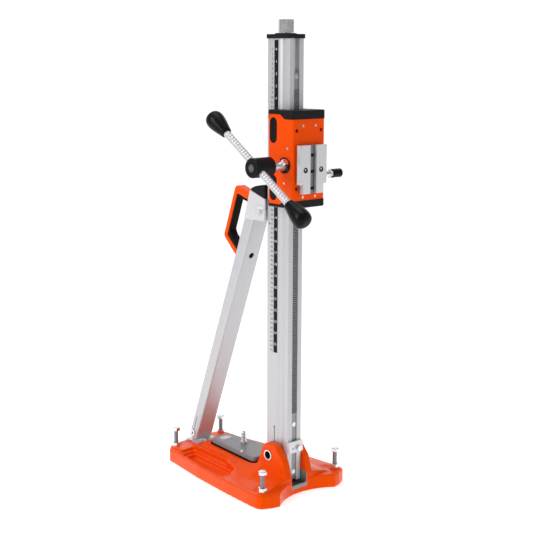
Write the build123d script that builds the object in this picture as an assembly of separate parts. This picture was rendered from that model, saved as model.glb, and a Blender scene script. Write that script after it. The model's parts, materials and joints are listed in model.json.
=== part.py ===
from build123d import *
import math
import os

os.makedirs("parts", exist_ok=True)

# Core drill stand, standing on its base.  X is across, -Y is the tool side,
# +Y is the strut side, +Z is up.  The origin is on the floor under the column.

# ---- base casting ----
BASE_WALL_H = 30.0
BASE_PLATEAU_H = 50.0
BASE_REAR_H = 36.0
ARCH_R = 134.7
ARCH_APEX_Y = -50.0
POCKET_HALF_X = 21.5
POCKET_FLOOR_Z = 16.0
EAR_HALF_X = 40.0
EAR_TOP_Z = 109.5
PIVOT_Y = 8.6
PIVOT_Z = 82.5
PIVOT_R = 9.0
PIVOT_BUSH_R = 12.0
FRONT_SCREW = (111.0, -52.0)
BOWL_XY = (106.0, -44.0)
BOWL_R = 72.0
BOWL_FLOOR_Z = 28.5
REAR_SCREW = (69.5, 302.5)
BOSS_Z = 34.5
SCREW_R = 5.0
SCREW_TOP_Z = 80.0
HEX_AF = 17.0
FIT = 0.05

# ---- column ----
COL_HALF_X = 20.5
COL_HALF_Y = 33.8
COL_Z0 = 24.5
COL_Z1 = 991.0
COL_WALL = 3.5
RACK_SLOT_HALF_X = 7.2
MODULE = 1.5
PINION_TEETH = 16
PITCH = math.pi * MODULE
PINION_R = MODULE * PINION_TEETH / 2.0
CRANK_Y = -46.0
CRANK_Z = 731.0
RACK_PITCH_Y = CRANK_Y + PINION_R
RACK_Z0 = 36.0
RACK_Z1 = 922.0
RACK_TEETH_Z0 = 176.0
RACK_TEETH_Z1 = 886.0

# ---- carriage ----
CAR_HALF_X = 45.4
CAR_Y0 = -72.0
CAR_Y1 = 4.0
CAR_Z0 = 648.0
CAR_Z1 = 836.0
CAR_STEP = 9.5
CAR_STEP_Y = -33.0
CAR_CAP = 6.5
CAR_CAP_TOP = 9.0
CAR_WALL = 5.0
ROLLER_R = 12.0
ROLLER_Y = -11.45
ROLLER_Z = (682.0, 802.5)
GROOVE_R = 18.0
GROOVE_DEPTH = 3.2
ROLLER_GAP = 1.05
MOUNT_Y = -86.0
MOUNT_HALF_X = 38.5
MOUNT_GROOVE = 8.7
MOUNT_Z0 = 672.5
MOUNT_Z1 = 773.5

# ---- crank ----
HUB_R = 20.5
HUB_X0 = -138.0
HUB_X1 = -86.0
ROD_X = -122.0
ROD_R = 8.0
ROD_ANGLE = 34.5
ROD_HALF = 114.0
GRIP_HALF = 176.0

# ---- strut ----
FOOT_Y = 294.5
FOOT_Z = 58.5
HEAD_Y = 53.0
HEAD_Z = 624.0
TUBE_HALF_X = 24.0
TUBE_DEPTH = 28.0
TUBE_WALL = 3.0
TUBE_LEAN = 20.24
TUBE_FRONT_Y = 274.7
TUBE_FRONT_Z = 64.5
TUBE_LENGTH = 618.0
TUBE_END = -24.5


def box(x0, x1, y0, y1, z0, z1):
    place = Pos((x0 + x1) / 2, (y0 + y1) / 2, (z0 + z1) / 2)
    return place * Box(x1 - x0, y1 - y0, z1 - z0)


def cyl_x(r, x0, x1, y, z):
    return Pos((x0 + x1) / 2, y, z) * Rot(0, 90, 0) * Cylinder(r, x1 - x0)


def cyl_y(r, y0, y1, x, z):
    return Pos(x, (y0 + y1) / 2, z) * Rot(90, 0, 0) * Cylinder(r, y1 - y0)


def cyl_z(r, z0, z1, x=0.0, y=0.0):
    return Pos(x, y, (z0 + z1) / 2) * Cylinder(r, z1 - z0)


def prism_z(points, z0, z1):
    face = make_face(Polyline(*points, close=True))
    return extrude(Pos(0, 0, z0) * face, amount=z1 - z0, dir=(0, 0, 1))


def prism_x(points, x0, x1):
    wire = Polyline(*[(x0, y, z) for y, z in points], close=True)
    return extrude(make_face(wire), amount=x1 - x0, dir=(1, 0, 0))


def prism_y(points, y0, y1):
    wire = Polyline(*[(x, y0, z) for x, z in points], close=True)
    return extrude(make_face(wire), amount=y1 - y0, dir=(0, 1, 0))


def hex_z(af, z0, z1, x=0.0, y=0.0):
    flat = RegularPolygon(af / 2, 6, major_radius=False)
    return extrude(Pos(x, y, z0) * flat, amount=z1 - z0, dir=(0, 0, 1))


def hex_x(af, x0, x1, y, z):
    bar = hex_z(af, 0, x1 - x0)
    return Pos(x0, y, z) * Rot(0, 90, 0) * bar


def hex_y(af, y0, y1, x, z):
    bar = hex_z(af, 0, y1 - y0)
    return Pos(x, y1, z) * Rot(90, 0, 0) * bar


def group(solids):
    return Compound(children=[s for one in solids for s in one.solids()])


def save(shape, name):
    solids = shape.solids()
    shape = solids[0] if len(solids) == 1 else Compound(children=list(solids))
    export_step(shape, "parts/" + name + ".step")
    print(name, len(solids), round(sum(s.volume for s in solids) / 1000.0, 1))


def both_sides(shape):
    return [shape, shape.mirror(Plane.YZ)]


# ======================= base =======================
half_outline = [
    (0.0, -79.4),
    (84.0, -79.4),
    (101.0, -76.0),
    (125.0, -64.5),
    (130.0, -55.0),
    (129.6, -27.0),
    (122.5, 65.0),
    (111.4, 167.0),
    (93.0, 278.0),
    (90.0, 302.0),
    (70.5, 321.5),
    (0.0, 321.5),
]
outline = half_outline + [(-x, y) for x, y in reversed(half_outline[1:-1])]
base = prism_z(outline, 0.0, BASE_WALL_H)

# raised middle and the flat rear end
plateau_low = [(-62.0, 40.0), (62.0, 40.0), (48.0, 262.0), (-48.0, 262.0)]
base += prism_z(plateau_low, 20.0, 42.0)
plateau_top = [(-50.0, 40.0), (50.0, 40.0), (36.0, 242.0), (-36.0, 242.0)]
base += prism_z(plateau_top, 40.0, BASE_PLATEAU_H)
rear_top = [
    (-84.0, 262.0),
    (84.0, 262.0),
    (82.0, 300.0),
    (66.0, 316.0),
    (-66.0, 316.0),
    (-82.0, 300.0),
]
base += prism_z(rear_top, 20.0, BASE_REAR_H)

# sloping shoulders from the ears out to the rim, one each side
sections = [
    (-52.0, ((38, 20), (122, 20), (119, 31), (80, 34), (38, 42))),
    (20.0, ((38, 20), (122, 20), (117, 31), (86, 36), (38, 62))),
    (58.0, ((45, 20), (112, 20), (98, 31), (84, 38), (45, 53))),
    (128.0, ((45, 20), (64, 20), (62, 34), (58, 46), (45, 50))),
]
faces = []
for y, pts in sections:
    faces.append(make_face(Polyline(*[(x, y, z) for x, z in pts], close=True)))
for first, second in zip(faces, faces[1:]):
    for part in both_sides(loft([first, second], ruled=True)):
        base += part

# bowls around the front levelling screws
for sx in (-1, 1):
    base -= Pos(sx * BOWL_XY[0], BOWL_XY[1], BOWL_FLOOR_Z + BOWL_R) * Sphere(BOWL_R)

# long recessed side panels in two steps
panel = [(-112.0, 82.0), (-66.0, 82.0), (-52.0, 252.0), (-90.0, 252.0), (-103.0, 167.0)]
panel_deep = [(-100.0, 90.0), (-70.0, 90.0), (-57.0, 244.0), (-82.0, 244.0), (-93.0, 167.0)]
for points in (panel, [(-x, y) for x, y in panel]):
    base -= prism_z(points, 24.0, 40.0)
for points in (panel_deep, [(-x, y) for x, y in panel_deep]):
    base -= prism_z(points, 17.0, 40.0)

# front arch, then the two ears
ear_side = [
    (52.0, 10.0),
    (46.0, 50.0),
    (26.0, 100.0),
    (20.0, 107.5),
    (14.0, EAR_TOP_Z),
    (-10.0, EAR_TOP_Z),
    (-16.0, 106.0),
    (-40.0, 78.0),
    (-52.0, 40.0),
    (-52.0, 10.0),
]
base += prism_x(ear_side, -EAR_HALF_X, EAR_HALF_X)
base -= cyl_z(ARCH_R, -1.0, 140.0, 0.0, ARCH_APEX_Y - ARCH_R)

# pocket that the column foot swings in
pocket_side = [
    (41.0, POCKET_FLOOR_Z),
    (41.0, 50.0),
    (62.0, 70.0),
    (62.0, 130.0),
    (-90.0, 130.0),
    (-90.0, POCKET_FLOOR_Z + 6.0),
    (-50.0, POCKET_FLOOR_Z + 6.0),
    (-42.0, POCKET_FLOOR_Z),
]
base -= prism_x(pocket_side, -POCKET_HALF_X, POCKET_HALF_X)
base -= cyl_x(PIVOT_BUSH_R, -60.0, 60.0, PIVOT_Y, PIVOT_Z)

# anchor slot right through the plateau
base -= box(-9.0, 9.0, 84.0, 196.0, -1.0, 60.0)
for y in (84.0, 196.0):
    base -= cyl_z(9.0, -1.0, 60.0, 0.0, y)

# bosses and bores of the levelling screws
screws_xy = []
for sx in (-1, 1):
    screws_xy.append((sx * FRONT_SCREW[0], FRONT_SCREW[1]))
    screws_xy.append((sx * REAR_SCREW[0], REAR_SCREW[1]))
for x, y in screws_xy:
    base += cyl_z(12.0, 10.0, BOSS_Z, x, y)
    base -= cyl_z(14.0, BOSS_Z, 60.0, x, y)
    base -= cyl_z(SCREW_R + FIT, -1.0, 60.0, x, y)

# groove for the floor seal, under the base
ring_outer = [(-104.0, -34.0), (104.0, -34.0), (72.0, 284.0), (-72.0, 284.0)]
ring_inner = [(-96.0, -28.0), (96.0, -28.0), (65.0, 278.0), (-65.0, 278.0)]
ring = prism_z(ring_outer, 0.3, 8.0) - prism_z(ring_inner, 0.0, 9.0)
base -= prism_z(ring_outer, -1.0, 8.0) - prism_z(ring_inner, -2.0, 9.0)
save(base, "base_casting")
save(ring, "floor_seal")

# cover plate over the anchor slot, with its gasket and hose nipple
cover_pts = [(-43.0, 53.0), (43.0, 53.0), (27.0, 223.0), (-27.0, 223.0)]
seal_pts = [(-44.0, 52.5), (44.0, 52.5), (28.0, 224.0), (-28.0, 224.0)]
seal = prism_z(seal_pts, BASE_PLATEAU_H, 54.5)
seal -= prism_z([(-22.0, 70.0), (22.0, 70.0), (18.0, 208.0), (-18.0, 208.0)], 40.0, 60.0)
save(fillet(seal.edges().filter_by(Axis.Z).group_by(Axis.Z)[0], 3.0), "cover_gasket")
cover = prism_z(cover_pts, 54.5, 64.5)
cover = fillet(cover.edges().filter_by(Axis.Z), 9.0)
cover = fillet(cover.faces().sort_by(Axis.Z)[-1].edges(), 2.5)
cover -= cyl_z(6.0, 50.0, 70.0, 0.0, 136.0)
for sx in (-1, 1):
    cover -= cyl_z(2.5, 50.0, 70.0, sx * 36.0, 100.0)
save(cover, "cover_plate")
nipple = cyl_z(6.0, 55.0, 64.5, 0.0, 136.0) + hex_z(14.0, 64.5, 72.0, 0.0, 136.0)
nipple += cyl_z(5.0, 72.0, 96.0, 0.0, 136.0)
for z in (77.0, 84.0, 91.0):
    nipple += Pos(0, 136.0, z) * Cone(6.2, 4.8, 6.0)
nipple -= cyl_z(2.5, 54.0, 97.0, 0.0, 136.0)
save(nipple, "hose_nipple")
studs = []
for sx in (-1, 1):
    stud = cyl_z(2.5, 54.6, 64.5, sx * 36.0, 100.0) + cyl_z(4.0, 64.5, 67.5, sx * 36.0, 100.0)
    studs.append(stud)
save(group(studs), "cover_screws")

# levelling screws: one node each, because each one turns by itself
names = ("levelling_screw_fl", "levelling_screw_rl", "levelling_screw_fr", "levelling_screw_rr")
for name, (x, y) in zip(names, screws_xy):
    bolt = cyl_z(SCREW_R, 4.0, SCREW_TOP_Z - 8.0, x, y)
    bolt += Pos(x, y, 2.75) * Cone(3.5, 5.0, 2.5)
    head = hex_z(HEX_AF, SCREW_TOP_Z - 8.0, SCREW_TOP_Z, x, y)
    head &= Pos(x, y, SCREW_TOP_Z - 4.0) * Sphere(10.6)
    save(bolt + head, name)
nuts = []
for x, y in screws_xy:
    nut = hex_z(HEX_AF, BOSS_Z, BOSS_Z + 8.0, x, y) - cyl_z(SCREW_R + FIT, 30.0, 50.0, x, y)
    nuts.append(nut)
save(group(nuts), "lock_nuts")

# pivot pin through both ears and the column foot
bushes = []
for sx in (-1, 1):
    x0, x1 = sorted((sx * (POCKET_HALF_X + 0.5), sx * (EAR_HALF_X + 1.0)))
    ring_bush = cyl_x(PIVOT_BUSH_R, x0, x1, PIVOT_Y, PIVOT_Z)
    bushes.append(ring_bush - cyl_x(PIVOT_R, -60.0, 60.0, PIVOT_Y, PIVOT_Z))
save(group(bushes), "pivot_bushes")
pin = cyl_x(PIVOT_R, -37.0, 37.0, PIVOT_Y, PIVOT_Z)
pin -= hex_x(10.0, -37.5, -27.0, PIVOT_Y, PIVOT_Z) + hex_x(10.0, 27.0, 37.5, PIVOT_Y, PIVOT_Z)
save(pin, "tilt_pivot_pin")

# foot bracket of the strut: floor plate and two cheeks inside the tube end
bracket = box(-29.5, 29.5, 268.0, 316.0, BASE_REAR_H, BASE_REAR_H + 4.0)
for x0, x1 in ((-20.7, -16.7), (16.7, 20.7)):
    bracket += box(x0, x1, FOOT_Y - 7.0, FOOT_Y + 7.5, 38.0, FOOT_Z)
    bracket += cyl_x(7.5, x0, x1, FOOT_Y, FOOT_Z)
bracket -= cyl_x(5.0, -40.0, 40.0, FOOT_Y, FOOT_Z)
bracket -= cyl_z(4.0, 30.0, 50.0, 0.0, 274.0)
save(bracket, "strut_foot_bracket")
foot_screw = cyl_z(4.0, 36.0, 40.0, 0.0, 274.0) + cyl_z(5.0, 40.0, 43.0, 0.0, 274.0)
save(foot_screw, "foot_bracket_screw")
foot_pin = cyl_x(5.0, -26.0, 26.0, FOOT_Y, FOOT_Z)
foot_pin += cyl_x(7.5, -26.0, -24.3, FOOT_Y, FOOT_Z) + cyl_x(7.5, 24.3, 26.0, FOOT_Y, FOOT_Z)
foot_pin -= cyl_x(3.4, -27.0, -20.0, FOOT_Y, FOOT_Z) + cyl_x(3.4, 20.0, 27.0, FOOT_Y, FOOT_Z)
save(foot_pin, "strut_foot_pin")

# ======================= column =======================
column = box(-COL_HALF_X, COL_HALF_X, -COL_HALF_Y, COL_HALF_Y, COL_Z0, COL_Z1)
column = fillet(column.edges().filter_by(Axis.Z), 1.5)
groove_x = COL_HALF_X - GROOVE_DEPTH + GROOVE_R
for sx in (-1, 1):
    column -= cyl_z(GROOVE_R, COL_Z0 - 1, COL_Z1 + 1, sx * groove_x, ROLLER_Y)
# hollow chambers of the extrusion
column -= box(-13.0, 13.0, -20.0, 20.0, COL_Z0 - 1, COL_Z1 + 1)
# rack slot in front, T-slot behind
column -= box(-RACK_SLOT_HALF_X, RACK_SLOT_HALF_X, -40.0, -25.0, COL_Z0 - 1, COL_Z1 + 1)
column -= box(-6.0, 6.0, 29.0, 40.0, COL_Z0 - 1, COL_Z1 + 1)
column -= box(-11.0, 11.0, 23.5, 29.6, COL_Z0 - 1, COL_Z1 + 1)
# clamp slit with its relief hole, pivot bore, fixing holes
column -= box(-COL_HALF_X - 1, COL_HALF_X + 1, PIVOT_Y - 1.0, PIVOT_Y + 1.0, COL_Z0 - 1, 144.0)
column -= cyl_x(2.2, -30.0, 30.0, PIVOT_Y, 144.0)
column -= cyl_x(PIVOT_R + 0.5, -30.0, 30.0, PIVOT_Y, PIVOT_Z)
column -= cyl_x(2.0, -30.0, -11.5, 26.5, 599.0)
# shallow seat of the scale strip on the -X side
column -= box(-21.0, -COL_HALF_X + 0.4, 0.5, 12.8, 314.5, 988.0)
save(column, "column_profile")
save(box(-COL_HALF_X, -COL_HALF_X + 0.4, 0.5, 12.8, 314.5, 988.0), "scale_strip")

foot_block = box(-13.0, 13.0, -20.0, 20.0, COL_Z0 + 2.0, 140.0)
foot_block -= cyl_x(PIVOT_R + FIT, -30.0, 30.0, PIVOT_Y, PIVOT_Z)
save(foot_block, "column_foot_block")

# toothed rack: root bar with straight sided teeth, 20 degrees each flank
tip = RACK_PITCH_Y - 0.9 * MODULE
root = RACK_PITCH_Y + 1.25 * MODULE
back = -25.0
half_tip = PITCH / 4 - 0.9 * MODULE * math.tan(math.radians(20)) - 0.08
half_root = PITCH / 4 + 1.25 * MODULE * math.tan(math.radians(20)) - 0.08
rack_side = [(back, RACK_Z0), (root, RACK_Z0)]
k = math.ceil((RACK_TEETH_Z0 - CRANK_Z) / PITCH)
while CRANK_Z + (k + 0.5) * PITCH < RACK_TEETH_Z1:
    zc = CRANK_Z + (k + 0.5) * PITCH
    rack_side.append((root, zc - half_root))
    rack_side.append((tip, zc - half_tip))
    rack_side.append((tip, zc + half_tip))
    rack_side.append((root, zc + half_root))
    k += 1
rack_side += [(root, RACK_Z1), (back, RACK_Z1)]
rack = prism_x(rack_side, -RACK_SLOT_HALF_X, RACK_SLOT_HALF_X)
rack_screws = []
for z in (45.5, 154.9, 912.6):
    rack -= cyl_y(5.0, -34.0, -30.0, 0.0, z) + cyl_y(2.5, -34.0, -24.0, 0.0, z)
    rack_screws.append(cyl_y(5.0, root - 0.6, -30.0, 0.0, z) + cyl_y(2.5, -30.0, -25.0, 0.0, z))
save(rack, "gear_rack")
save(group(rack_screws), "rack_screws")

stop = box(-20.5, 21.3, -39.8, -COL_HALF_Y, 92.0, 118.0)
stop = fillet(stop.edges().filter_by(Axis.Y), 4.0)
stop -= cyl_y(4.0, -45.0, -30.0, 7.5, 101.0)
stop -= cyl_y(2.0, -45.0, -30.0, -9.0, 102.0)
save(stop, "bottom_stop_plate")
stop_screw = cyl_y(4.0, -39.8, -33.8, 7.5, 101.0) + hex_y(12.0, -45.0, -39.8, 7.5, 101.0)
save(stop_screw, "stop_screw")

cap = box(-24.0, 24.0, -36.0, 36.0, COL_Z1, 1000.0)
cap = fillet(cap.edges().filter_by(Axis.Z), 4.0)
cap += Pos(0, 0, 1001.0) * Cylinder(23.0, 2.0)
cap = chamfer(cap.faces().filter_by(Axis.Z).sort_by(Axis.Z)[-1].edges(), 1.2)
cap -= cyl_z(10.0 + FIT, 985.0, 1010.0)
save(cap, "column_top_cap")
jack_block = box(-13.0, 13.0, -20.0, 20.0, 930.0, 990.9) - cyl_z(10.0 + FIT, 920.0, 1000.0)
save(jack_block, "jack_nut_block")
jack = cyl_z(10.0, 900.0, 1004.0) + hex_z(32.0, 1003.0, 1030.0)
jack &= cyl_z(17.6, 890.0, 1030.0)
save(jack, "jack_spindle")

# ======================= carriage =======================
car_side = [
    (CAR_Y0, CAR_Z0 + CAR_STEP),
    (CAR_STEP_Y - 13.0, CAR_Z0 + CAR_STEP),
    (CAR_STEP_Y, CAR_Z0),
    (CAR_Y1, CAR_Z0),
    (CAR_Y1, CAR_Z1),
    (CAR_STEP_Y, CAR_Z1),
    (CAR_STEP_Y - 13.0, CAR_Z1 - CAR_STEP),
    (CAR_Y0, CAR_Z1 - CAR_STEP),
]
housing = prism_x(car_side, -CAR_HALF_X, CAR_HALF_X)
housing = fillet(housing.edges().filter_by(Axis.Z), 3.0)
inner_front = CAR_Y0 + CAR_WALL
housing -= box(-40.4, 40.4, inner_front, CAR_Y1 + 10, CAR_Z0 - 1, CAR_Z1 + 1)
# windows that show the guide shoes
for z in ROLLER_Z:
    slot = box(-60.0, 60.0, ROLLER_Y - 11.0, ROLLER_Y + 11.0, z - 16.0, z + 16.0)
    for dz in (-16.0, 16.0):
        slot += cyl_x(11.0, -60.0, 60.0, ROLLER_Y, z + dz)
    housing -= slot
housing -= cyl_x(17.0, -60.0, 60.0, CRANK_Y, CRANK_Z)
housing -= cyl_x(7.0, 38.0, 60.0, -58.0, 707.0)
for sx in (-1, 1):
    for z in (683.0, 803.5):
        housing -= cyl_y(4.3, CAR_Y0 - 1, inner_front + 1, sx * 35.0, z)
save(housing, "carriage_housing")

# inner frame that joins the two sides around the column front
frame = box(-40.4, 40.4, inner_front, -41.0, 690.0, 772.0)
frame -= box(-9.0, 9.0, -62.0, -40.0, 680.0, 780.0)
frame -= cyl_x(7.0 + FIT, -60.0, 60.0, CRANK_Y, CRANK_Z)
frame -= cyl_x(14.0, -9.0, 9.0, CRANK_Y, CRANK_Z)
frame -= cyl_x(17.0, -41.0, -36.0, CRANK_Y, CRANK_Z) + cyl_x(17.0, 36.0, 41.0, CRANK_Y, CRANK_Z)
frame -= cyl_x(5.0 + FIT, 20.0, 45.0, -58.0, 707.0)
save(frame, "carriage_frame")

cap_z = ((CAR_Z1 - CAR_STEP, CAR_Z1 + CAR_CAP_TOP), (CAR_Z0 - CAR_CAP, CAR_Z0 + CAR_STEP))
for name, (z0, z1) in zip(("carriage_top_cap", "carriage_bottom_cap"), cap_z):
    lid = box(-46.4, 46.4, CAR_Y0 - 1.0, CAR_Y1 + 1.0, z0, z1)
    lid = fillet(lid.edges().filter_by(Axis.Z), 4.0)
    rim = lid.faces().sort_by(Axis.Z)[-1 if z0 > 700 else 0].edges()
    lid = fillet(rim, 3.0)
    lid -= prism_x(car_side, -60.0, 60.0)
    lid -= box(-21.5, 21.5, -42.0, CAR_Y1 + 10.0, z0 - 1, z1 + 1)
    save(lid, name)

# guide shoes fill the windows, each with a roller behind
shoes = []
pins = []
for sx in (-1, 1):
    for z in ROLLER_Z:
        x0, x1 = sorted((sx * 25.0, sx * 44.2))
        shoe = box(x0, x1, ROLLER_Y - 10.9, ROLLER_Y + 10.9, z - 16.0, z + 16.0)
        for dz in (-16.0, 16.0):
            shoe += cyl_x(10.9, x0, x1, ROLLER_Y, z + dz)
        # room for the roller
        shoe -= box(-60.0, 60.0, ROLLER_Y - 8.3, ROLLER_Y + 8.3, z - 13.0, z + 13.0) & box(
            min(0, sx * 42.8), max(0, sx * 42.8), -60.0, 60.0, 0.0, 1000.0
        )
        pin_x = sx * (COL_HALF_X - GROOVE_DEPTH + ROLLER_GAP + ROLLER_R)
        shoe -= cyl_y(2.5, ROLLER_Y - 10.0, ROLLER_Y + 10.0, pin_x, z)
        shoes.append(shoe)
        pins.append(cyl_y(2.5, ROLLER_Y - 10.0, ROLLER_Y + 10.0, pin_x, z))
        side = "l" if sx < 0 else "r"
        level = "lower" if z < 700 else "upper"
        roller = cyl_y(ROLLER_R, ROLLER_Y - 8.0, ROLLER_Y + 8.0, pin_x, z)
        roller = chamfer(roller.edges().filter_by(GeomType.CIRCLE), 3.0)
        roller -= cyl_y(2.5 + FIT, ROLLER_Y - 9.0, ROLLER_Y + 9.0, pin_x, z)
        save(roller, "guide_roller_" + level + "_" + side)
save(group(shoes), "guide_shoes")
save(group(pins), "roller_pins")

# black plastic bushes of the pinion shaft
bush_parts = []
for sx in (-1, 1):
    x0, x1 = sorted((sx * 36.0, sx * 46.6))
    ring_b = cyl_x(17.0, x0, x1, CRANK_Y, CRANK_Z) - cyl_x(13.0, x0 - 1, x1 + 1, CRANK_Y, CRANK_Z)
    bush_parts.append(ring_b)
save(group(bush_parts), "shaft_bushes")

# small pan screws of the housing
heads = []
for y, z in ((-55.0, 766.6), (-45.4, 693.8)):
    heads.append(cyl_x(2.4, -46.2, -45.4, y, z))
    heads.append(cyl_x(2.4, 45.4, 46.2, y, z))
for sx in (-1, 1):
    for z in (665.0, 813.0):
        heads.append(cyl_y(2.8, CAR_Y0 - 1.0, CAR_Y0, sx * 18.0, z))
save(group(heads), "housing_screws")

# quick mount for the motor: spacer, two dovetail plates, centre bar
spacer = box(-30.0, 30.0, -76.0, CAR_Y0, MOUNT_Z0 + 4.0, MOUNT_Z1 - 4.0)
save(spacer, "mount_spacer")
for sx, name in ((-1, "mount_plate_l"), (1, "mount_plate_r")):
    pts = [
        (sx * MOUNT_GROOVE, MOUNT_Z0),
        (sx * 29.0, MOUNT_Z0),
        (sx * 29.0, 692.5),
        (sx * MOUNT_HALF_X, 692.5),
        (sx * MOUNT_HALF_X, MOUNT_Z1),
        (sx * MOUNT_GROOVE, MOUNT_Z1),
    ]
    plate = prism_y(pts, MOUNT_Y, -76.0)
    under = [
        (sx * MOUNT_GROOVE, -80.0),
        (sx * (MOUNT_GROOVE + 4.0), -76.0),
        (sx * (MOUNT_GROOVE - 1.0), -76.0),
        (sx * (MOUNT_GROOVE - 1.0), -80.0),
    ]
    plate -= prism_z(under, 660.0, 780.0)
    for x, z in ((35.5, 768.5), (35.5, 698.5)):
        plate -= cyl_y(2.0, -90.0, -70.0, sx * x, z)
    plate -= cyl_y(5.6, MOUNT_Y - 1.0, MOUNT_Y + 4.0, sx * 22.8, 722.0)
    save(plate, name)
bar = box(-7.6, 7.6, -78.5, -76.0, MOUNT_Z0, MOUNT_Z1)
save(bar, "mount_centre_bar")
mount_screws = []
for sx in (-1, 1):
    for x, z in ((35.5, 768.5), (35.5, 698.5)):
        mount_screws.append(cyl_y(2.0, MOUNT_Y - 0.6, -76.0, sx * x, z))
    s = cyl_y(5.6, MOUNT_Y + 1.0, MOUNT_Y + 4.0, sx * 22.8, 722.0)
    s -= hex_y(6.0, MOUNT_Y, MOUNT_Y + 3.0, sx * 22.8, 722.0)
    mount_screws.append(s)
save(group(mount_screws), "mount_screws")

# indexing plunger on the +X side
sleeve = cyl_x(7.0, 40.4, 74.0, -58.0, 707.0) + hex_x(15.0, 74.0, 80.0, -58.0, 707.0)
sleeve -= cyl_x(5.0 + FIT, 40.0, 81.0, -58.0, 707.0)
save(sleeve, "plunger_sleeve")
plunger = cyl_x(5.0, 24.0, 81.5, -58.0, 707.0) + cyl_x(9.5, 81.5, 110.0, -58.0, 707.0)
plunger = chamfer(plunger.edges().filter_by(GeomType.CIRCLE).sort_by(Axis.X)[-1], 2.5)
save(plunger, "plunger_knob")

# ======================= crank =======================
def involute_gear(teeth, module, x0, x1, y, z):
    pitch_r = module * teeth / 2
    base_r = pitch_r * math.cos(math.radians(20))
    out_r = pitch_r + 0.9 * module
    root_r = pitch_r - 1.25 * module
    inv20 = math.tan(math.radians(20)) - math.radians(20)
    half = math.pi / (2 * teeth) + inv20 - 0.08 / pitch_r
    flank = []
    for i in range(6):
        r = base_r + (out_r - base_r) * i / 5
        a = math.acos(base_r / r)
        flank.append((r, half - (math.tan(a) - a)))
    points = []
    for t in range(teeth):
        mid = 2 * math.pi * t / teeth
        points.append((root_r, mid - half))
        points += [(r, mid - d) for r, d in flank]
        points += [(r, mid + d) for r, d in reversed(flank)]
        points.append((root_r, mid + half))
    return prism_x([(y + r * math.cos(a), z + r * math.sin(a)) for r, a in points], x0, x1)


pinion = involute_gear(PINION_TEETH, MODULE, -6.5, 6.5, CRANK_Y, CRANK_Z)
pinion -= cyl_x(6.0, -7.0, 7.0, CRANK_Y, CRANK_Z)
save(pinion, "pinion")
shaft = cyl_x(6.0, -8.5, 8.5, CRANK_Y, CRANK_Z) + cyl_x(7.0, -90.0, -8.5, CRANK_Y, CRANK_Z)
shaft += cyl_x(7.0, 8.5, 44.0, CRANK_Y, CRANK_Z)
save(shaft, "pinion_shaft")
collar = cyl_x(11.5, HUB_X1, -48.0, CRANK_Y, CRANK_Z) - cyl_x(7.0, -95.0, -40.0, CRANK_Y, CRANK_Z)
turn = Pos(0, CRANK_Y, CRANK_Z) * Rot(ROD_ANGLE, 0, 0)
tangent = Pos(0, CRANK_Y, CRANK_Z) * Rot(-32.0, 0, 0)
clamp_hole = tangent * (Pos(-57.0, -12.0, 0) * Rot(90, 0, 0) * Cylinder(3.0, 14.0))
collar -= clamp_hole
save(collar, "shaft_collar")
clamp_bolt = Pos(-57.0, -9.6, 0) * Rot(90, 0, 0) * Cylinder(3.0, 5.0)
clamp_bolt += Pos(-57.0, -11.7, 0) * Rot(90, 0, 0) * hex_z(13.0, 0, 7.0)
save(tangent * clamp_bolt, "collar_bolt")
hub = cyl_x(HUB_R, HUB_X0, HUB_X1, CRANK_Y, CRANK_Z)
hub = fillet(hub.edges().filter_by(GeomType.CIRCLE), 3.0)
rod_hole = turn * (Pos(ROD_X, 0, 0) * Rot(90, 0, 0) * Cylinder(ROD_R, 60.0))
hub -= rod_hole
hub -= cyl_x(7.0, -90.0, -80.0, CRANK_Y, CRANK_Z)
hub -= cyl_x(11.0, HUB_X0 - 1.0, HUB_X0 + 1.0, CRANK_Y, CRANK_Z)
save(hub, "crank_hub")
rod = turn * (Pos(ROD_X, 0, 0) * Rot(90, 0, 0) * Cylinder(ROD_R, 2 * (GRIP_HALF - 16.0)))
save(rod, "crank_rod")
for side, name in ((1, "crank_grip_upper"), (-1, "crank_grip_lower")):
    profile = [
        (0.0, ROD_HALF),
        (10.5, ROD_HALF),
        (12.5, ROD_HALF + 3.0),
        (17.0, ROD_HALF + 24.0),
        (19.8, ROD_HALF + 42.0),
        (18.5, ROD_HALF + 54.0),
        (13.0, ROD_HALF + 60.5),
        (6.0, GRIP_HALF),
        (0.0, GRIP_HALF),
    ]
    face = make_face(Polyline(*[(r, d, 0) for r, d in profile], close=True))
    bulb = revolve(face, Axis.Y)
    bulb -= cyl_y(ROD_R, ROD_HALF - 1.0, GRIP_HALF - 16.0, 0.0, 0.0)
    if side < 0:
        bulb = Rot(180, 0, 0) * bulb
    save(turn * (Pos(ROD_X, 0, 0) * bulb), name)

# ======================= strut =======================
# local frame: z runs up the tube axis, y across its depth, from the front face foot point
lean = Pos(0, TUBE_FRONT_Y, TUBE_FRONT_Z) * Rot(TUBE_LEAN, 0, 0)
tube = box(-TUBE_HALF_X, TUBE_HALF_X, 0.0, TUBE_DEPTH, TUBE_END, TUBE_LENGTH)
tube = fillet(tube.edges().filter_by(Axis.Z), 4.0)
core = box(
    -TUBE_HALF_X + TUBE_WALL,
    TUBE_HALF_X - TUBE_WALL,
    TUBE_WALL,
    TUBE_DEPTH - TUBE_WALL,
    TUBE_END - 5.0,
    TUBE_LENGTH + 5.0,
)
tube -= core
# clamp slit above the foot pin, and the open back at the foot
tube -= box(-30.0, 30.0, 15.4, 17.2, -12.0, 34.0)
tube -= box(-21.0, 21.0, 12.0, 40.0, TUBE_END - 5.0, 6.0)
tube = lean * tube
tube -= cyl_x(5.0 + FIT, -40.0, 40.0, FOOT_Y, FOOT_Z)
tube -= lean * cyl_y(7.0, -5.0, 8.0, 0.0, 480.0)
save(tube, "strut_tube")

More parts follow.
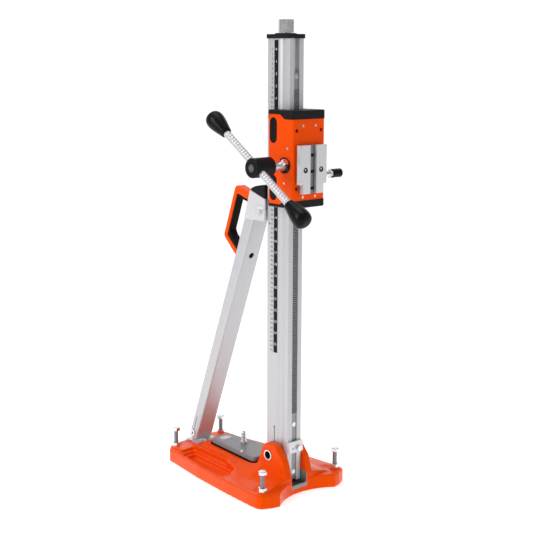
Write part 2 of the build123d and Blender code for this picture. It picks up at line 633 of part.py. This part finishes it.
flange = [(35.0, 603.0), (102.3, 602.3), (82.9, 667.2), (35.0, 651.0)]
head = prism_x(flange, -27.4, 27.4) - prism_x([(0, 590), (120, 590), (120, 680), (0, 680)], -24.1, 24.1)
head -= cyl_x(5.0, -40.0, 40.0, HEAD_Y, HEAD_Z)
save(head, "head_cheeks")
bolt = cyl_x(5.0, -27.4, 29.0, HEAD_Y, HEAD_Z)
bolt += hex_x(17.0, -34.0, -27.4, HEAD_Y, HEAD_Z) + hex_x(17.0, 27.4, 34.0, HEAD_Y, HEAD_Z)
save(bolt, "head_bolt")
cap_side = [(35.0, 651.2), (82.9, 667.4), (80.0, 672.0), (70.0, 676.5), (50.0, 680.5), (37.0, 681.5)]
cap_top = prism_x(cap_side, -26.0, 26.0)
save(cap_top, "head_cap")
slider = box(-10.5, 10.5, 24.0, 29.2, 604.0, 648.0) + box(-5.6, 5.6, 28.0, 36.0, 604.0, 648.0)
slider += box(-18.0, 18.0, 34.2, 41.0, 604.0, 648.0)
save(slider, "strut_slider")

# carrying handle on the back of the tube, in the plane of symmetry
rear_y = TUBE_DEPTH
handle_out = [
    (rear_y, 617.0),
    (rear_y + 65.0, 614.0),
    (rear_y + 63.0, 486.5),
    (rear_y, 458.0),
]
handle_in = [
    (rear_y - 1.0, 600.0),
    (rear_y + 54.0, 597.5),
    (rear_y + 52.5, 493.0),
    (rear_y - 1.0, 470.0),
]
handle = prism_x(handle_out, -11.0, 11.0)
corners = handle.edges().filter_by(Axis.X).filter_by(lambda e: e.center().Y > rear_y + 50.0)
handle = fillet(corners, 9.0)
handle -= prism_x(handle_in, -20.0, 20.0)
save(lean * handle, "carry_handle")
grip_in = [
    (rear_y + 53.7, 597.2),
    (rear_y + 52.3, 493.3),
    (rear_y + 2.0, 471.8),
    (rear_y + 2.0, 484.0),
    (rear_y + 40.0, 500.0),
    (rear_y + 48.8, 508.0),
    (rear_y + 50.0, 590.0),
    (rear_y + 2.0, 595.0),
    (rear_y + 2.0, 599.5),
]
grip = prism_x(grip_in, -10.0, 10.0)
save(lean * grip, "handle_grip")
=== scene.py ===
import bpy
import bmesh
import json
import math
from mathutils import Matrix, Vector


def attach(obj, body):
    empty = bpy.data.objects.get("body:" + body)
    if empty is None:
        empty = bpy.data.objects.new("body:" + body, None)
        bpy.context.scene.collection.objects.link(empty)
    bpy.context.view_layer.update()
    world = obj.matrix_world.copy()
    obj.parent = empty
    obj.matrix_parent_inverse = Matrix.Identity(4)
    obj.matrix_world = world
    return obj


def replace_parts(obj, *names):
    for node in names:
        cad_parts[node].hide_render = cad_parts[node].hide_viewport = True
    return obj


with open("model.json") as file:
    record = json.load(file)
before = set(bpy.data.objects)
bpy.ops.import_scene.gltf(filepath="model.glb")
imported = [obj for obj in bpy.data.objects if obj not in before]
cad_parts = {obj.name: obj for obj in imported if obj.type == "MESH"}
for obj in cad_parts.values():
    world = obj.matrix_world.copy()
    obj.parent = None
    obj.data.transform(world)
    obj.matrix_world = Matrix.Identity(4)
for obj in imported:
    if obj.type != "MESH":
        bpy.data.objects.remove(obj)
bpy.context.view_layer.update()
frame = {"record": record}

# Core drill stand, metres, in the frame of the CAD: X across, -Y the tool side, +Z up.
BODIES = frame["record"]["behaviour"]["bodies"]
BODY_OF = {node: body for body, nodes in BODIES.items() for node in nodes}

# ---- driving sizes ----
CAMERA_PLACE = (-1.6448, -1.7462, 0.9538)
CAMERA_DOWN = 10.594
CAMERA_ROLL = -0.14
CAMERA_TURN = -42.32
LENS = 75.85
SENSOR = 36.0

EDGE_BEVEL = 0.0005
CRANK_AXIS_Y = -0.046
CRANK_AXIS_Z = 0.731
ROD_CENTRE = Vector((-0.122, CRANK_AXIS_Y, CRANK_AXIS_Z))
ROD_ANGLE = math.radians(34.5)
ROD_WAY = Vector((0, math.cos(ROD_ANGLE), math.sin(ROD_ANGLE)))
ROD_R = 0.00795
ROD_HALF = 0.159
GROOVE_PITCH = 0.0074
GROOVE_DEPTH = 0.0010
GROOVE_HALF = 0.20
GRIP_START = 0.114
HUB_FACE_X = -0.1370

MOUNT_FACE_Y = -0.0858
SOCKET_X = 0.0228
SOCKET_Z = 0.722
BAR_FACE_Y = -0.0787
BAR_BAND = (0.0146, 0.0006, 0.0060)
BAR_BAND_Z = (0.752, 0.718, 0.683)

LEVEL_PLACES = (("fl", -0.111, -0.052), ("rl", -0.0695, 0.3025),
                ("fr", 0.111, -0.052), ("rr", 0.0695, 0.3025))
THREAD_PITCH = 0.0015
THREAD_ROOT = 0.0043
THREAD_CREST = 0.00498
THREAD_Z = (0.0040, 0.0690)
HEAD_Z = (0.0720, 0.0800)
HEAD_ACROSS_FLATS = 0.0168

SCALE_TOP_Z = 0.9687
NUMBER_X = -0.02056
TICK_X = -0.02054
TICK_THICK = 0.00008
INCH = 0.0254


# ---- materials ----
def material(name, color, rough, metallic=0.0, vary=0.06, vary_scale=40.0, stretch=(1, 1, 1),
             bump=0.05, bump_scale=900.0, coat=0.0, rough_vary=0.08, spec=0.5,
             tint=(1.0, 1.0, 1.0)):
    # one noise varies colour and roughness, a finer one gives the surface its grain
    m = bpy.data.materials.new(name)
    m.use_nodes = True
    tree = m.node_tree
    tree.nodes.clear()
    link = tree.links.new
    out = tree.nodes.new("ShaderNodeOutputMaterial")
    bsdf = tree.nodes.new("ShaderNodeBsdfPrincipled")
    link(bsdf.outputs["BSDF"], out.inputs["Surface"])
    tex = tree.nodes.new("ShaderNodeTexCoord")
    mapping = tree.nodes.new("ShaderNodeMapping")
    mapping.inputs["Scale"].default_value = stretch
    link(tex.outputs["Object"], mapping.inputs["Vector"])
    big = tree.nodes.new("ShaderNodeTexNoise")
    big.inputs["Scale"].default_value = vary_scale
    big.inputs["Detail"].default_value = 4.0
    link(mapping.outputs["Vector"], big.inputs["Vector"])
    mix = tree.nodes.new("ShaderNodeMix")
    mix.data_type = "RGBA"
    low = tuple(c * (1.0 - vary) for c in color)
    high = tuple(min(1.0, c * (1.0 + vary)) for c in color)
    mix.inputs["A"].default_value = (*low, 1.0)
    mix.inputs["B"].default_value = (*high, 1.0)
    link(big.outputs["Fac"], mix.inputs["Factor"])
    link(mix.outputs["Result"], bsdf.inputs["Base Color"])
    spread = tree.nodes.new("ShaderNodeMapRange")
    spread.inputs["To Min"].default_value = max(0.02, rough - rough_vary)
    spread.inputs["To Max"].default_value = min(1.0, rough + rough_vary)
    link(big.outputs["Fac"], spread.inputs["Value"])
    link(spread.outputs["Result"], bsdf.inputs["Roughness"])
    fine = tree.nodes.new("ShaderNodeTexNoise")
    fine.inputs["Scale"].default_value = bump_scale
    fine.inputs["Detail"].default_value = 3.0
    link(mapping.outputs["Vector"], fine.inputs["Vector"])
    grain = tree.nodes.new("ShaderNodeBump")
    grain.inputs["Strength"].default_value = bump
    grain.inputs["Distance"].default_value = 0.0006
    link(fine.outputs["Fac"], grain.inputs["Height"])
    link(grain.outputs["Normal"], bsdf.inputs["Normal"])
    bsdf.inputs["Metallic"].default_value = metallic
    bsdf.inputs["Coat Weight"].default_value = coat
    bsdf.inputs["Coat Roughness"].default_value = 0.08
    bsdf.inputs["Specular IOR Level"].default_value = spec
    bsdf.inputs["Specular Tint"].default_value = (*tint, 1.0)
    return m


ORANGE = material("orange_paint", (1.0, 0.078, 0.0), 0.34, vary=0.03, vary_scale=25.0,
                  bump=0.08, bump_scale=420.0, rough_vary=0.05, spec=0.30, tint=(1.0, 0.30, 0.04))
CAST = material("orange_cast", (1.0, 0.078, 0.0), 0.28, vary=0.03, vary_scale=18.0,
                bump=0.14, bump_scale=380.0, rough_vary=0.06, spec=0.42, tint=(1.0, 0.32, 0.05))
BARE = material("machined_pocket", (0.30, 0.30, 0.31), 0.38, metallic=0.5, vary=0.12,
                vary_scale=90.0, bump=0.08, bump_scale=500.0)
ANOD = material("anodised_aluminium", (0.60, 0.60, 0.62), 0.40, metallic=0.55, vary=0.03,
                vary_scale=60.0, stretch=(14, 14, 0.25), bump=0.08, bump_scale=160.0)
PLATE = material("milled_aluminium", (0.74, 0.74, 0.76), 0.34, metallic=0.5, vary=0.03,
                 vary_scale=70.0, stretch=(12, 1, 0.4), bump=0.07, bump_scale=180.0)
ZINC = material("bright_zinc", (0.78, 0.78, 0.80), 0.22, metallic=1.0, vary=0.08,
                vary_scale=120.0, bump=0.05, bump_scale=700.0)
STEEL = material("bright_steel", (0.66, 0.66, 0.68), 0.28, metallic=1.0, vary=0.07,
                 vary_scale=90.0, bump=0.06, bump_scale=500.0)
RACK = material("rack_steel", (0.30, 0.30, 0.31), 0.42, metallic=1.0, vary=0.2,
                vary_scale=160.0, bump=0.12, bump_scale=500.0)
DARK_BAR = material("dark_bar", (0.24, 0.24, 0.25), 0.42, metallic=0.4, vary=0.12,
                    vary_scale=80.0, stretch=(1, 1, 0.2), bump=0.06, bump_scale=400.0)
PLASTIC = material("black_plastic", (0.006, 0.006, 0.007), 0.40, vary=0.25, vary_scale=60.0,
                   bump=0.16, bump_scale=900.0, rough_vary=0.06, spec=0.14)
GRIP = material("gloss_black_plastic", (0.004, 0.004, 0.005), 0.30, vary=0.2, vary_scale=50.0,
                bump=0.05, bump_scale=700.0, rough_vary=0.04, spec=0.13)
CHARCOAL = material("charcoal_plastic", (0.009, 0.009, 0.010), 0.46, vary=0.2, vary_scale=60.0,
                    bump=0.2, bump_scale=1000.0, spec=0.14)
RUBBER = material("black_rubber", (0.003, 0.003, 0.003), 0.62, vary=0.3, vary_scale=80.0,
                  bump=0.25, bump_scale=800.0, spec=0.12)
GREY = material("grey_enamel", (0.235, 0.228, 0.242), 0.40, vary=0.05, vary_scale=30.0,
                bump=0.1, bump_scale=600.0, coat=0.1)
WHITE = material("white_print", (0.80, 0.80, 0.80), 0.5, vary=0.04, vary_scale=200.0, bump=0.02)
INK = material("dark_print", (0.03, 0.03, 0.035), 0.5, vary=0.1, vary_scale=200.0, bump=0.02)
THREAD = material("threaded_zinc", (0.30, 0.30, 0.32), 0.38, metallic=0.55, vary=0.15,
                  vary_scale=200.0, bump=0.1, bump_scale=900.0)
ROD = material("zinc_rod", (0.62, 0.62, 0.64), 0.34, metallic=0.45, vary=0.05,
               vary_scale=120.0, bump=0.06, bump_scale=700.0)
# painted shade: near-black for the faces in the crank rod's spiral groove
GROOVE_SHADE = material("rod_groove_shade", (0.05, 0.045, 0.05), 0.5, metallic=0.3, vary=0.1,
                  vary_scale=150.0, bump=0.05, bump_scale=700.0)
# painted shade: near-black standing in for shadow, used on the tilt pivot pin, the socket screw wells
# and the bands across the centre bar
HOLE_SHADE = material("shadow_black", (0.004, 0.004, 0.004), 0.8, vary=0.3, vary_scale=200.0,
                bump=0.02, spec=0.1)

# a node that isn't named here is bright zinc
NODE_FINISH = {
    CAST: ["base_casting"],
    ORANGE: ["carriage_housing", "carry_handle"],
    RUBBER: ["floor_seal", "cover_gasket", "handle_grip"],
    GREY: ["cover_plate"],
    ANOD: ["column_profile", "strut_tube", "carriage_frame"],
    PLATE: ["head_cheeks", "strut_foot_bracket", "mount_plate_l", "mount_plate_r", "bottom_stop_plate"],
    DARK_BAR: ["mount_spacer", "mount_centre_bar"],
    STEEL: ["strut_slider", "pinion_shaft", "shaft_collar", "crank_rod", "column_foot_block",
            "jack_nut_block"],
    RACK: ["gear_rack", "pinion"],
    CHARCOAL: ["column_top_cap", "carriage_top_cap", "carriage_bottom_cap", "head_cap"],
    PLASTIC: ["scale_strip", "guide_shoes", "shaft_bushes", "crank_hub", "guide_roller_lower_l",
              "guide_roller_lower_r", "guide_roller_upper_l", "guide_roller_upper_r"],
    GRIP: ["plunger_knob", "crank_grip_upper", "crank_grip_lower"],
    # the tilt pivot pin is given the painted shade colour
    HOLE_SHADE: ["tilt_pivot_pin"],
}
MATERIAL_OF = {node: mat for mat, nodes in NODE_FINISH.items() for node in nodes}
# toothed, thin and replaced nodes keep their CAD edges
SHARP_NODES = ("gear_rack", "pinion", "scale_strip", "base_casting")


def finish_nodes():
    for node in BODY_OF:
        ob = bpy.data.objects[node]
        ob.data.materials.clear()
        ob.data.materials.append(MATERIAL_OF.get(node, ZINC))
        if node not in SHARP_NODES:
            bevel = ob.modifiers.new("edge", "BEVEL")
            bevel.width = EDGE_BEVEL
            bevel.segments = 2
            bevel.limit_method = "ANGLE"
            bevel.angle_limit = math.radians(35)


# ---- helpers ----
def add(name, mesh, mat, body, smooth=True):
    ob = bpy.data.objects.new(name, mesh)
    bpy.context.scene.collection.objects.link(ob)
    ob.data.materials.clear()
    ob.data.materials.append(mat)
    if smooth:
        for p in ob.data.polygons:
            p.use_smooth = True
    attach(ob, body)
    return ob


def to_mesh(bm, name):
    mesh = bpy.data.meshes.new(name)
    bm.to_mesh(mesh)
    bm.free()
    return mesh


def evaluated(ob):
    graph = bpy.context.evaluated_depsgraph_get()
    return bpy.data.meshes.new_from_object(ob.evaluated_get(graph))


def circle(bm, radius, height, segs, x=0.0, y=0.0):
    steps = [2 * math.pi * i / segs for i in range(segs)]
    return [bm.verts.new((x + radius * math.cos(a), y + radius * math.sin(a), height)) for a in steps]


def bridge(bm, a, b):
    # a band of four-sided faces between two loops with the same number of points
    count = len(a)
    return [bm.faces.new((a[i], a[(i + 1) % count], b[(i + 1) % count], b[i])) for i in range(count)]


def stack(bm, loops):
    # closed form through the loops, capped at both ends
    for a, b in zip(loops, loops[1:]):
        bridge(bm, a, b)
    bm.faces.new(list(reversed(loops[0])))
    bm.faces.new(loops[-1])


def lathe(profile, axis_m, segs):
    # profile: (radius, distance along local Z); axis_m places local Z
    bm = bmesh.new()
    stack(bm, [circle(bm, r, d, segs) for r, d in profile])
    bm.transform(axis_m)
    return to_mesh(bm, "lathe")


def washer(inner, outer, height, axis_m, segs=40):
    bm = bmesh.new()
    outline = ((inner, 0.0), (outer, 0.0), (outer, height), (inner, height))
    loops = [circle(bm, r, d, segs) for r, d in outline]
    for a, b in zip(loops, loops[1:] + loops[:1]):
        bridge(bm, a, b)
    bm.transform(axis_m)
    return to_mesh(bm, "ring")


def place(x, y, z, direction):
    turn = Vector(direction).normalized().to_track_quat("Z", "Y")
    return Matrix.Translation((x, y, z)) @ turn.to_matrix().to_4x4()


def block(bm, centre, size):
    mtx = Matrix.Translation(centre) @ Matrix.Diagonal((*size, 1))
    bmesh.ops.create_cube(bm, size=1.0, matrix=mtx)


def spline(points, n=8):
    # Catmull-Rom curve through the profile points
    out = []
    p = [points[0]] + list(points) + [points[-1]]
    for i in range(1, len(p) - 2):
        for k in range(n):
            t = k / n
            q = []
            for c in (0, 1):
                a, b, e, f = p[i - 1][c], p[i][c], p[i + 1][c], p[i + 2][c]
                q.append(0.5 * (2 * b + (e - a) * t + (2 * a - 5 * b + 4 * e - f) * t * t
                                + (3 * b - a - 3 * e + f) * t ** 3))
            out.append((max(q[0], 0.0004), q[1]))
    out.append(points[-1])
    return out


def soften(node, voxel, rounds, mat):
    # the cast or moulded form: the CAD solid with its corners rounded over
    name = node + "_skin"
    rough_form = bpy.data.objects.new(name + "_tmp", bpy.data.objects[node].data.copy())
    bpy.context.scene.collection.objects.link(rough_form)
    remesh = rough_form.modifiers.new("r", "REMESH")
    remesh.mode = "VOXEL"
    remesh.voxel_size = voxel
    relax = rough_form.modifiers.new("s", "SMOOTH")
    relax.factor = 0.5
    relax.iterations = rounds
    mesh = evaluated(rough_form)
    bpy.data.objects.remove(rough_form)
    skin = add(name, mesh, mat, BODY_OF[node])
    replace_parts(skin, node)
    return skin


# ---- camera ----
def make_camera():
    data = bpy.data.cameras.new("camera")
    data.lens = LENS
    data.sensor_width = SENSOR
    ob = bpy.data.objects.new("camera", data)
    bpy.context.scene.collection.objects.link(ob)
    ob.location = CAMERA_PLACE
    ob.rotation_euler = (math.radians(90 - CAMERA_DOWN), math.radians(CAMERA_ROLL),
                         math.radians(CAMERA_TURN))
    bpy.context.scene.camera = ob


# ---- cast and moulded pieces ----
def cast_pieces():
    base = soften("base_casting", 0.0016, 7, CAST)
    # the pocket that the column foot swings in is left as bare machined metal
    base.data.materials.append(BARE)
    for p in base.data.polygons:
        c = p.center
        if abs(c.x) < 0.0225 and -0.060 < c.y < 0.045 and 0.012 < c.z < 0.046:
            p.material_index = 1
    soften("carry_handle", 0.0012, 6, ORANGE)
    soften("handle_grip", 0.0012, 8, RUBBER)
    soften("head_cap", 0.0011, 6, CHARCOAL)


# ---- crank ----
def crank_grips():
    outline = [(0.0096, 0.0), (0.0108, 0.0008), (0.0118, 0.003), (0.0139, 0.012), (0.0165, 0.023),
               (0.0187, 0.034), (0.0197, 0.043), (0.0190, 0.051), (0.0160, 0.0575),
               (0.0100, 0.0612), (0.0035, 0.0619), (0.0005, 0.062)]
    for way, node in ((ROD_WAY, "crank_grip_upper"), (-ROD_WAY, "crank_grip_lower")):
        start = ROD_CENTRE + way * GRIP_START
        bulb = add(node + "_skin", lathe(spline(outline), place(*start, way), 72), GRIP, "crank")
        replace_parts(bulb, node)


def crank_rod():
    # straight rod with a shallow spiral groove; the groove faces are coloured near-black, painted shade
    # standing in for the groove's shadow
    segs, steps = 48, 900

    def from_groove(z, i):
        # distance from the groove's middle, in pitches
        phase = (z / GROOVE_PITCH - i / segs) % 1.0
        return min(phase, 1 - phase)

    bm = bmesh.new()
    before = None
    for k in range(steps + 1):
        z = -ROD_HALF + 2 * ROD_HALF * k / steps
        loop = []
        for i in range(segs):
            a = 2 * math.pi * i / segs
            r = ROD_R - GROOVE_DEPTH * max(0.0, 1 - (from_groove(z, i) / GROOVE_HALF) ** 2)
            loop.append(bm.verts.new((r * math.cos(a), r * math.sin(a), z)))
        if before:
            # faces inside the groove take the painted shade colour
            for i, face in enumerate(bridge(bm, before, loop)):
                face.material_index = 1 if from_groove(z, i) < GROOVE_HALF else 0
        else:
            bm.faces.new(list(reversed(loop)))
        before = loop
    bm.faces.new(before)
    bm.transform(place(*ROD_CENTRE, ROD_WAY))
    rod = add("crank_rod_skin", to_mesh(bm, "rod"), ROD, "crank")
    rod.data.materials.append(GROOVE_SHADE)
    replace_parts(rod, "crank_rod")


def hub_badge():
    # black disc in the hub's end face, with a plain ring and dot on it
    outward = (-1, 0, 0)
    seat = place(HUB_FACE_X, CRANK_AXIS_Y, CRANK_AXIS_Z, outward)
    disc = [(0.0002, 0.0), (0.0100, 0.0), (0.0106, 0.0003), (0.0106, 0.0008)]
    add("hub_badge_disc", lathe(disc, seat, 48), PLASTIC, "crank")
    face = place(HUB_FACE_X - 0.00075, CRANK_AXIS_Y, CRANK_AXIS_Z, outward)
    add("hub_badge_ring", washer(0.0062, 0.0074, 0.0004, face), GREY, "crank", smooth=False)
    add("hub_badge_dot", washer(0.0018, 0.0038, 0.0004, face), GREY, "crank", smooth=False)


# ---- quick mount ----
def mount_details():
    # painted shade: dark rings round the two socket screws, standing in for the shadow in the wells
    # they sit in
    for tag, side in (("l", -1), ("r", 1)):
        at = place(side * SOCKET_X, MOUNT_FACE_Y, SOCKET_Z, (0, -1, 0))
        add("socket_well_" + tag, washer(0.0034, 0.0058, 0.0006, at), HOLE_SHADE, "carriage", smooth=False)
    # black bands across the centre bar
    for k, z in enumerate(BAR_BAND_Z):
        bm = bmesh.new()
        block(bm, (0, BAR_FACE_Y, z), BAR_BAND)
        bmesh.ops.bevel(bm, geom=list(bm.edges), offset=0.0002, segments=2, affect="EDGES")
        add("bar_band_%d" % k, to_mesh(bm, "band"), HOLE_SHADE, "carriage", smooth=False)


# ---- levelling screws ----
def thread_outline():
    low, high = THREAD_Z
    points = [(0.0035, 0.0015), (0.0046, low)]
    z = low
    while z < high:
        points += [(THREAD_ROOT, z), (THREAD_CREST, z + 0.0007), (THREAD_ROOT, z + 0.0014)]
        z += THREAD_PITCH
    return points + [(0.0048, 0.0700), (0.0048, 0.0722)]


def hex_head(x, y):
    # hexagon with a small chamfer below and a domed top
    low, high = HEAD_Z
    r = HEAD_ACROSS_FLATS / math.sqrt(3)
    outline = ((r * 0.93, low), (r, low + 0.0008), (r, high - 0.0012), (r * 0.90, high - 0.0002),
               (r * 0.82, high))
    bm = bmesh.new()
    stack(bm, [circle(bm, radius, z, 6, x, y) for radius, z in outline])
    return to_mesh(bm, "head")


def levelling_screws():
    for tag, x, y in LEVEL_PLACES:
        node, body = "levelling_screw_" + tag, "level_" + tag
        shank = lathe(thread_outline(), Matrix.Translation((x, y, 0)), 32)
        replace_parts(add("level_shank_" + tag, shank, THREAD, body), node)
        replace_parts(add("level_head_" + tag, hex_head(x, y), ZINC, body, smooth=False), node)


# ---- scales on the column ----
def text_mesh(text, size):
    font = bpy.data.curves.new("t", "FONT")
    font.body = text
    font.size = size
    font.align_x = "CENTER"
    font.align_y = "CENTER"
    font.extrude = 0.00004
    ob = bpy.data.objects.new("t", font)
    bpy.context.scene.collection.objects.link(ob)
    mesh = evaluated(ob)
    bpy.data.objects.remove(ob)
    return mesh


def printed(name, items, mat):
    # items: (text, size, y, z) on the -X side of the column, reading from outside
    bm = bmesh.new()
    outward = Matrix(((0, 0, -1, 0), (-1, 0, 0, 0), (0, 1, 0, 0), (0, 0, 0, 1)))
    for text, size, y, z in items:
        mesh = text_mesh(text, size)
        first = len(bm.verts)
        bm.from_mesh(mesh)
        bm.verts.ensure_lookup_table()
        at = Matrix.Translation((NUMBER_X, y, z)) @ outward
        bmesh.ops.transform(bm, matrix=at, verts=bm.verts[first:])
        bpy.data.meshes.remove(mesh)
    add(name, to_mesh(bm, name), mat, "column", smooth=False)


def ticks(name, items, mat):
    # items: (y from, y to, z, height)
    bm = bmesh.new()
    for y0, y1, z, height in items:
        block(bm, (TICK_X, (y0 + y1) / 2, z), (TICK_THICK, y1 - y0, height))
    add(name, to_mesh(bm, name), mat, "column", smooth=False)


def column_scales():
    # centimetres on the bare metal, with a shorter mark at each half
    cm = [(str(i), SCALE_TOP_Z - 0.01 * i) for i in range(66)]
    printed("centimetre_numbers", [(text, 0.0078, 0.0192, z) for text, z in cm], INK)
    marks = []
    for _, z in cm:
        marks.append((0.0137, 0.0152, z, 0.0006))
        marks.append((0.0137, 0.0146, z - 0.005, 0.0005))
    ticks("centimetre_ticks", marks, INK)
    # inches on the black strip
    inch = [(str(i), SCALE_TOP_Z - INCH * i) for i in range(26)]
    printed("inch_numbers", [(text, 0.0080, 0.0066, z) for text, z in inch], WHITE)
    marks = []
    for _, z in inch:
        marks.append((0.0104, 0.0126, z, 0.0008))
        marks.append((0.0112, 0.0126, z - INCH / 2, 0.0006))
    ticks("inch_ticks", marks, WHITE)


def cover_mark():
    # plain low oval on the cover plate
    outline = [(0.0002, 0.0), (0.017, 0.0), (0.0175, 0.0002), (0.0002, 0.0003)]
    at = Matrix.Translation((0, 0.200, 0.0645)) @ Matrix.Diagonal((1.0, 0.75, 1.0, 1.0))
    add("cover_mark", lathe(outline, at, 48), WHITE, "base")


# ---- set ----
def studio_floor():
    # pale floor that curves up into a wall behind the stand, square to the camera
    bend, bend_r, half_width, wall_top = 3.5, 1.6, 9, 9.0
    outline = [(-9.0, 0.0), (bend, 0.0)]
    for k in range(1, 17):
        a = math.pi / 2 * k / 16
        outline.append((bend + bend_r * math.sin(a), bend_r - bend_r * math.cos(a)))
    outline.append((bend + bend_r, wall_top))
    turn = math.radians(CAMERA_TURN)
    away = Vector((-math.sin(turn), math.cos(turn), 0))
    across = Vector((math.cos(turn), math.sin(turn), 0))
    bm = bmesh.new()
    rows = []
    for d, z in outline:
        lift = Vector((0, 0, z - 0.0004))
        rows.append([bm.verts.new(away * d + across * s + lift) for s in (-half_width, half_width)])
    for a, b in zip(rows, rows[1:]):
        bm.faces.new((a[0], a[1], b[1], b[0]))
    floor = bpy.data.objects.new("studio_floor", to_mesh(bm, "studio_floor"))
    bpy.context.scene.collection.objects.link(floor)
    pale = material("studio_floor", (0.70, 0.70, 0.70), 0.9, vary=0.003, vary_scale=3.0,
                    bump=0.0, spec=0.0)
    bsdf = pale.node_tree.nodes["Principled BSDF"]
    bsdf.inputs["Emission Color"].default_value = (1.0, 1.0, 1.0, 1.0)
    bsdf.inputs["Emission Strength"].default_value = 0.60
    floor.data.materials.append(pale)
    for p in floor.data.polygons:
        p.use_smooth = True


def lamp(name, place_at, target, size, power):
    light = bpy.data.lights.new(name, "AREA")
    light.shape = "RECTANGLE"
    light.size, light.size_y = size
    light.energy = power
    ob = bpy.data.objects.new(name, light)
    bpy.context.scene.collection.objects.link(ob)
    ob.location = place_at
    aim = Vector(target) - Vector(place_at)
    ob.rotation_euler = aim.to_track_quat("-Z", "Y").to_euler()


def lights():
    lamp("key_left", (-2.6, 0.6, 1.9), (0, 0, 0.5), (1.0, 2.0), 37)
    lamp("front_fill", (0.9, -2.8, 1.6), (0, 0, 0.5), (1.0, 2.0), 9)
    lamp("top", (-0.2, 0.1, 3.2), (0, 0, 0.2), (1.6, 1.6), 22)
    world = bpy.data.worlds.new("studio")
    bpy.context.scene.world = world
    world.use_nodes = True
    sky = world.node_tree.nodes["Background"]
    sky.inputs["Color"].default_value = (0.97, 0.98, 1.0, 1.0)
    sky.inputs["Strength"].default_value = 0.34
    bpy.context.scene.view_settings.view_transform = "Standard"
    bpy.context.scene.view_settings.look = "None"


finish_nodes()
make_camera()
cast_pieces()
crank_grips()
crank_rod()
hub_badge()
mount_details()
levelling_screws()
column_scales()
cover_mark()
studio_floor()
lights()
